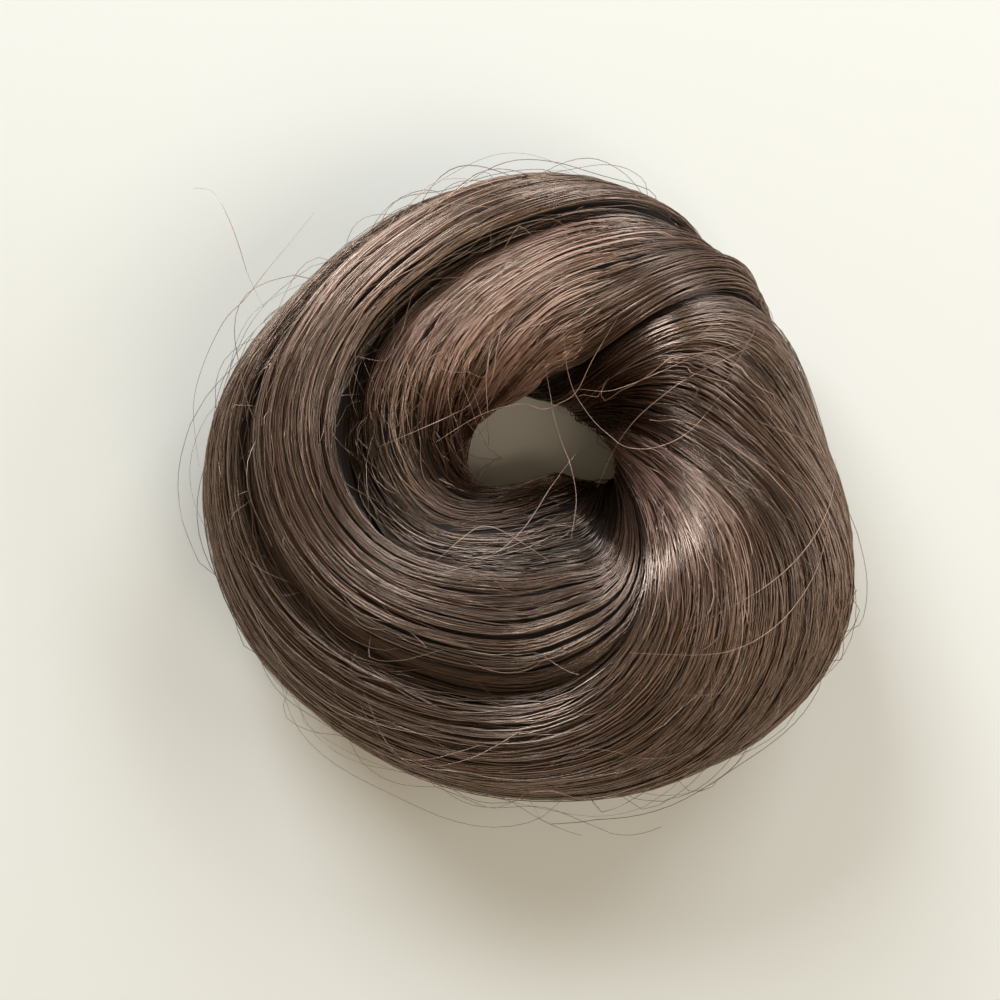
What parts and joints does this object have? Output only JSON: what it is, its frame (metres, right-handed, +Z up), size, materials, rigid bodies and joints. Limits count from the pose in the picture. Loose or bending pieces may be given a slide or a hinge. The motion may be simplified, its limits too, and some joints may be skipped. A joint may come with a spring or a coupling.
{
  "type": "bun hairpiece",
  "caption": "Soft ring of straight hair wound in overlapping locks round an elastic loop, slipped over a ponytail to make a bun.",
  "frame": {"origin": "on the surface the ring lies on, under the middle of its outline", "axes": "+Z up through the hole, +X to the right and +Y to the top of the ring as seen from above"},
  "size_m": [0.1184, 0.1136, 0.0416],
  "materials": {
    "hair": "straight ash-brown synthetic hair, satin sheen along the strands",
    "elastic": "matt black covered elastic"
  },
  "bodies": {
    "root": {"elastic_band": "elastic", "hair_lock_right": "hair", "hair_lock_outer": "hair", "hair_lock_crossing": "hair"}
  },
  "joints": []
}
